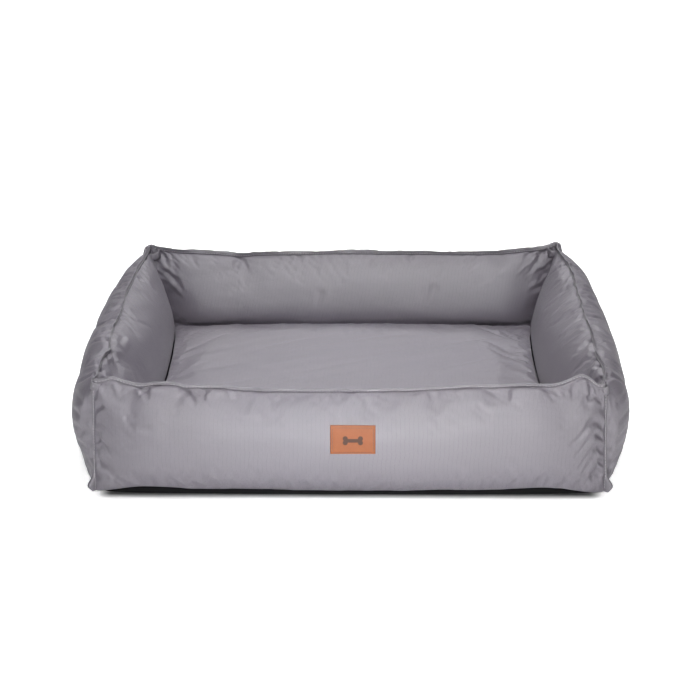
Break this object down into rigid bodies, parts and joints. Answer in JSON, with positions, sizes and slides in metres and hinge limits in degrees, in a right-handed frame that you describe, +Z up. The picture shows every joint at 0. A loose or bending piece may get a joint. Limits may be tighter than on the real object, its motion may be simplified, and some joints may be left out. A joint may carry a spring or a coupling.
{
  "type": "pet cushion bed",
  "caption": "Rectangular pet bed: padded ripstop bolster walls with sewn ridges on a non-slip base, around a zipped mattress that lifts out of the well.",
  "frame": {"origin": "middle of the underside, on the surface that the bed stands on", "axes": "+X along the front wall to the right as seen from the front, +Y from the front wall (with the label) to the back wall, +Z up"},
  "size_m": [0.8628, 0.661, 0.187],
  "materials": {
    "ripstop_fabric": "matte",
    "non_slip_fabric": "matte",
    "fibre_fill": "matte",
    "foam": "matte",
    "label_leather": "satin",
    "label_thread": "matte",
    "seam_thread": "satin",
    "zip_tape": "matte",
    "zip_coil": "satin",
    "zip_metal": "satin"
  },
  "bodies": {
    "bed": {"base_sheet": "non_slip_fabric", "front_outer_panel": "ripstop_fabric", "front_inner_panel": "ripstop_fabric", "front_bolster_insert": "fibre_fill", "front_ridge_seam": "ripstop_fabric", "back_outer_panel": "ripstop_fabric", "back_inner_panel": "ripstop_fabric", "back_bolster_insert": "fibre_fill", "back_ridge_seam": "ripstop_fabric", "left_outer_panel": "ripstop_fabric", "left_inner_panel": "ripstop_fabric", "left_bolster_insert": "fibre_fill", "left_ridge_seam": "ripstop_fabric", "right_outer_panel": "ripstop_fabric", "right_inner_panel": "ripstop_fabric", "right_bolster_insert": "fibre_fill", "right_ridge_seam": "ripstop_fabric", "front_left_corner_seam": "ripstop_fabric", "front_right_corner_seam": "ripstop_fabric", "back_left_corner_seam": "ripstop_fabric", "back_right_corner_seam": "ripstop_fabric", "label_patch": "label_leather", "label_stitching": "label_thread", "front_zip_tape_lower": "zip_tape", "front_zip_tape_upper": "zip_tape", "front_zip_coil": "zip_coil", "front_zip_start_stop": "zip_metal", "front_zip_end_stop": "zip_metal", "back_zip_tape_lower": "zip_tape", "back_zip_tape_upper": "zip_tape", "back_zip_coil": "zip_coil", "back_zip_start_stop": "zip_metal", "back_zip_end_stop": "zip_metal"},
    "mattress": {"mattress_zip_tape_lower": "zip_tape", "mattress_zip_tape_upper": "zip_tape", "mattress_zip_coil": "zip_coil", "mattress_zip_start_stop": "zip_metal", "mattress_zip_end_stop": "zip_metal", "mattress_bottom_panel": "ripstop_fabric", "mattress_boxing": "ripstop_fabric", "mattress_top_panel": "ripstop_fabric", "mattress_foam_core": "foam", "mattress_fibre_topper": "fibre_fill"},
    "front_zip_slider": {"front_zip_slider": "zip_metal"},
    "front_zip_puller": {"front_zip_puller": "zip_metal"},
    "back_zip_slider": {"back_zip_slider": "zip_metal"},
    "back_zip_puller": {"back_zip_puller": "zip_metal"},
    "mattress_zip_slider": {"mattress_zip_slider": "zip_metal"},
    "mattress_zip_puller": {"mattress_zip_puller": "zip_metal"}
  },
  "joints": [
    {"name": "mattress_lift", "type": "slide", "parent": "bed", "child": "mattress", "axis": [0, 0, 1], "range_m": [0, 0.2]},
    {"name": "front_zip_travel", "type": "slide", "parent": "bed", "child": "front_zip_slider", "axis": [1, 0, 0], "range_m": [0, 0.502]},
    {"name": "front_puller_flip", "type": "hinge", "parent": "front_zip_slider", "child": "front_zip_puller", "pos_m": [-0.2512, -0.2426, 0.018], "axis": [0, 0, 1], "range_deg": [0, 175]},
    {"name": "back_zip_travel", "type": "slide", "parent": "bed", "child": "back_zip_slider", "axis": [-1, 0, 0], "range_m": [0, 0.502]},
    {"name": "back_puller_flip", "type": "hinge", "parent": "back_zip_slider", "child": "back_zip_puller", "pos_m": [0.2512, 0.2426, 0.018], "axis": [0, 0, 1], "range_deg": [0, 175]},
    {"name": "mattress_zip_travel", "type": "slide", "parent": "mattress", "child": "mattress_zip_slider", "axis": [0, -1, 0], "range_m": [0, 0.362]},
    {"name": "mattress_puller_flip", "type": "hinge", "parent": "mattress_zip_slider", "child": "mattress_zip_puller", "pos_m": [0.3209, 0.1812, 0.022], "axis": [0, 0, 1], "range_deg": [0, 175]}
  ]
}
